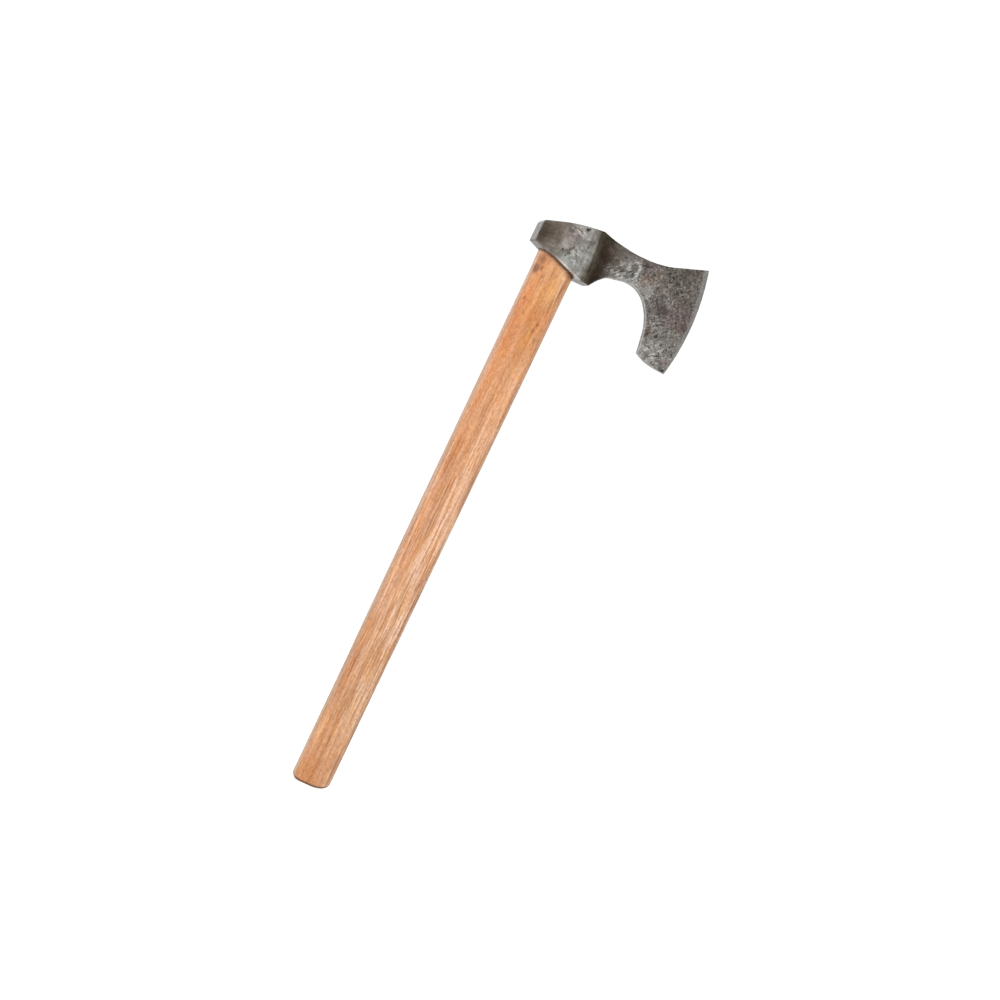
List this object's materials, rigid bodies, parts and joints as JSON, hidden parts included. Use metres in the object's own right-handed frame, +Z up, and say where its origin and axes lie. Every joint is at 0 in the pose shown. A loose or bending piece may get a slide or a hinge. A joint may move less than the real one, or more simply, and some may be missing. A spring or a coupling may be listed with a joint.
{
  "type": "bearded broad axe",
  "caption": "Bearded axe with a forged steel head, square poll and curved edge, on a straight wooden haft that is wedged into the eye.",
  "frame": {"origin": "middle of the haft's flat butt end", "axes": "+Z up the haft to the head, +X from the haft towards the cutting edge, +Y across the head's thickness"},
  "size_m": [0.1751, 0.04, 0.6048],
  "materials": {
    "forged_steel": "hammer-forged, dark brown-grey scale, ground bright at the bevel",
    "haft_wood": "dry oiled ash-like wood, open grain",
    "wedge_wood": "sawn end grain",
    "wedge_steel": "dull mild steel"
  },
  "bodies": {
    "root": {"axe_head": "forged_steel", "haft": "haft_wood", "wooden_wedge": "wedge_wood", "steel_wedge_front": "wedge_steel", "steel_wedge_rear": "wedge_steel"}
  },
  "joints": []
}
